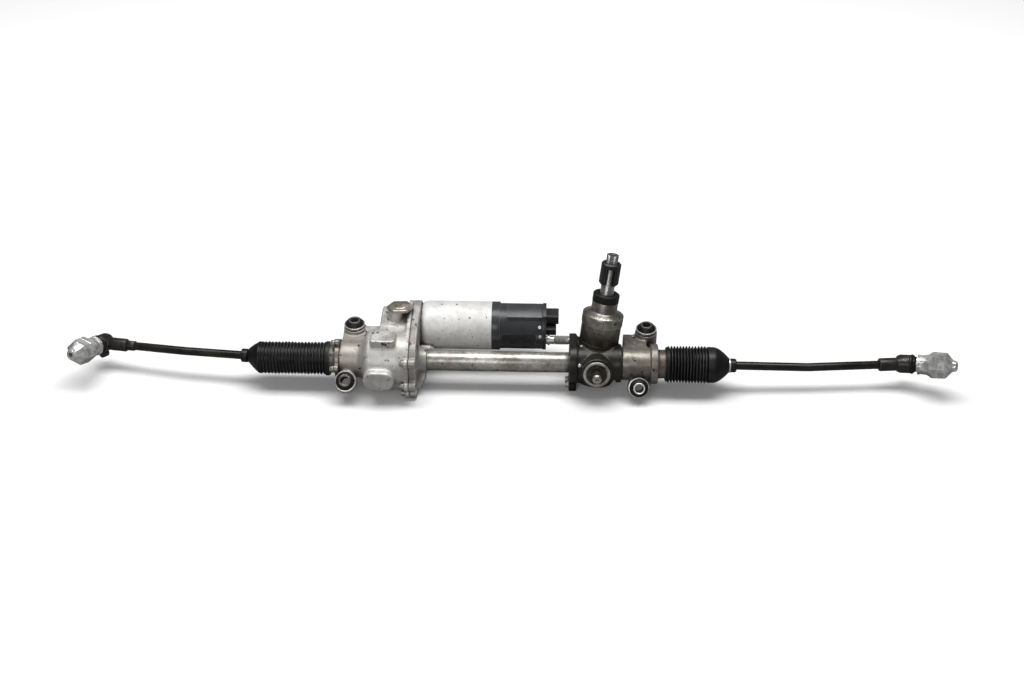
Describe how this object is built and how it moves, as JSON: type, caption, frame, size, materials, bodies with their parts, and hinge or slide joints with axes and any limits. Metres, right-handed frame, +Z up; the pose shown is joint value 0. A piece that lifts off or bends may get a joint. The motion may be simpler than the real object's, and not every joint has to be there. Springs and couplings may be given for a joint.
{
  "type": "electric steering rack",
  "caption": "Electric rack-and-pinion steering gear with belt-driven ball screw, motor, leaning input tower, ribbed boots and tie rods, hung on rubber bushings.",
  "frame": {"origin": "on the rack's axis, midway along X between the four mounting bushings", "axes": "+X along the rack towards the pinion side, +Y to the rear where the motor and the upper bushings are, +Z up"},
  "size_m": [1.4811, 0.1914, 0.2298],
  "materials": {
    "stained_aluminium": "cast, stained grey-brown",
    "cast_aluminium": "cast, light grey",
    "greasy_aluminium": "cast, dark with old grease",
    "motor_aluminium": "die cast, cloudy satin",
    "tower_steel": "turned, brown patina",
    "tower_band": "turned",
    "brown_plate": "stained plate",
    "tube_steel": "drawn, shiny, stained",
    "machined_steel": "ground, oiled",
    "rod_steel": "satin black, worn",
    "cap_sheet": "bright scuffed sheet",
    "yoke_steel": "turned, rusty",
    "bolt_steel": "dull zinc",
    "bright_steel": "bright",
    "shell_steel": "black",
    "bushing_rubber": "matte",
    "boot_rubber": "matte, ribbed",
    "black_coupling": "satin black",
    "cover_plastic": "moulded, charcoal",
    "lead_sleeve": "corrugated sleeve",
    "seat_plastic": "moulded, natural",
    "belt_rubber": "toothed belt",
    "pulley_steel": "sintered",
    "rotor_steel": "laminated",
    "yoke_aluminium": "machined",
    "board_green": "circuit board",
    "sensor_plastic": "moulded"
  },
  "bodies": {
    "housing": {"screw_housing": "cast_aluminium", "vent_plate": "brown_plate", "left_end_cap": "stained_aluminium", "drive_cover": "cast_aluminium", "rack_tube": "tube_steel", "pinion_housing": "greasy_aluminium", "right_housing": "stained_aluminium", "rack_bush": "seat_plastic", "bushing_shells": "shell_steel", "bushing_rubbers": "bushing_rubber", "bushing_sleeves": "bright_steel", "sensor_housing": "tower_steel", "sensor_band": "tower_band", "torque_sensor": "sensor_plastic", "tower_seal": "boot_rubber", "yoke": "yoke_aluminium", "yoke_spring": "machined_steel", "yoke_plug": "yoke_steel", "adjuster_screw": "yoke_steel", "belt": "belt_rubber", "motor_case": "motor_aluminium", "stator": "rotor_steel", "end_shield": "motor_aluminium", "bearings": "machined_steel", "electronics_cover": "cover_plastic", "circuit_board": "board_green", "connector_plate": "cover_plastic", "sensor_lead": "lead_sleeve", "housing_bolts": "bolt_steel", "boot_left": "boot_rubber", "boot_right": "boot_rubber", "boot_bands": "boot_rubber"},
    "rack": {"rack_bar": "machined_steel", "inner_socket_left": "rod_steel", "inner_socket_right": "rod_steel"},
    "ball_nut_body": {"ball_nut": "machined_steel", "nut_balls": "machined_steel", "large_pulley": "pulley_steel"},
    "rotor_body": {"rotor": "rotor_steel", "small_pulley": "pulley_steel"},
    "pinion": {"pinion_shaft": "machined_steel", "torsion_bar": "machined_steel"},
    "input": {"input_shaft": "machined_steel", "coupling_sleeve": "black_coupling"},
    "inner_seat_body_left": {"inner_seat_left": "seat_plastic"},
    "rod_left": {"tie_rod_left": "rod_steel", "neck_clip_left": "boot_rubber", "rod_end_left": "rod_steel", "dust_boot_left": "boot_rubber"},
    "outer_seat_body_left": {"outer_seat_left": "seat_plastic"},
    "stud_left": {"ball_stud_left": "machined_steel", "shield_cap_left": "cap_sheet"},
    "inner_seat_body_right": {"inner_seat_right": "seat_plastic"},
    "rod_right": {"tie_rod_right": "rod_steel", "neck_clip_right": "bright_steel", "rod_end_right": "rod_steel", "dust_boot_right": "boot_rubber"},
    "outer_seat_body_right": {"outer_seat_right": "seat_plastic"},
    "stud_right": {"ball_stud_right": "machined_steel", "shield_cap_right": "cap_sheet"}
  },
  "joints": [
    {"name": "motor_spin", "type": "hinge", "parent": "housing", "child": "rotor_body", "pos_m": [-0.07, 0.072, 0.022], "axis": [1, 0, 0], "range_deg": [-5880, 11230]},
    {"name": "ball_nut_spin", "type": "hinge", "parent": "housing", "child": "ball_nut_body", "pos_m": [-0.2, 0, 0], "axis": [1, 0, 0], "range_deg": [-2262, 4320]},
    {"name": "rack_travel", "type": "slide", "parent": "housing", "child": "rack", "axis": [1, 0, 0], "range_m": [-0.044, 0.084], "deforming": ["boot_left", "boot_right"]},
    {"name": "pinion_spin", "type": "hinge", "parent": "housing", "child": "pinion", "pos_m": [0.166, 0.01559, -0.0036], "axis": [0.1219, 0.2233, 0.9671], "range_deg": [-278, 531]},
    {"name": "input_twist", "type": "hinge", "parent": "pinion", "child": "input", "pos_m": [0.166, 0.01559, -0.0036], "axis": [0.1219, 0.2233, 0.9671], "range_deg": [-4.5, 4.5], "stiffness_Nm_per_rad": 2},
    {"name": "tie_rod_swing_left", "type": "hinge", "parent": "rack", "child": "inner_seat_body_left", "pos_m": [-0.374, 0, 0], "axis": [0, 0, 1], "range_deg": [-17, 17], "deforming": ["boot_left"]},
    {"name": "tie_rod_lift_left", "type": "hinge", "parent": "inner_seat_body_left", "child": "rod_left", "pos_m": [-0.374, 0, 0], "axis": [-0.0969, -0.9953, 0], "range_deg": [-17, 17], "deforming": ["boot_left"]},
    {"name": "outer_joint_turn_left", "type": "hinge", "parent": "rod_left", "child": "outer_seat_body_left", "pos_m": [-0.673, 0.041, -0.006], "axis": [-0.3578, -0.8736, 0.3298], "range_deg": [-180, 180], "deforming": ["dust_boot_left"]},
    {"name": "outer_joint_tilt_left", "type": "hinge", "parent": "outer_seat_body_left", "child": "stud_left", "pos_m": [-0.673, 0.041, -0.006], "axis": [0.0291, 0.3426, 0.939], "range_deg": [-15, 15], "deforming": ["dust_boot_left"]},
    {"name": "tie_rod_swing_right", "type": "hinge", "parent": "rack", "child": "inner_seat_body_right", "pos_m": [0.334, 0, 0], "axis": [0, 0, 1], "range_deg": [-17, 17], "deforming": ["boot_right"]},
    {"name": "tie_rod_lift_right", "type": "hinge", "parent": "inner_seat_body_right", "child": "rod_right", "pos_m": [0.334, 0, 0], "axis": [-0.0403, 0.9992, 0], "range_deg": [-17, 17], "deforming": ["boot_right"]},
    {"name": "outer_joint_turn_right", "type": "hinge", "parent": "rod_right", "child": "outer_seat_body_right", "pos_m": [0.6825, 0.019, -0.005], "axis": [0.8861, -0.389, 0.252], "range_deg": [-180, 180], "deforming": ["dust_boot_right"]},
    {"name": "outer_joint_tilt_right", "type": "hinge", "parent": "outer_seat_body_right", "child": "stud_right", "pos_m": [0.6825, 0.019, -0.005], "axis": [0.0441, -0.4704, -0.8813], "range_deg": [-15, 15], "deforming": ["dust_boot_right"]}
  ],
  "couplings": [
    {"joint": "ball_nut_spin", "follows": "motor_spin", "ratio": 0.38462},
    {"joint": "rack_travel", "follows": "motor_spin", "m_per_rad": 0.00042849},
    {"joint": "pinion_spin", "follows": "motor_spin", "ratio": 0.047256}
  ]
}
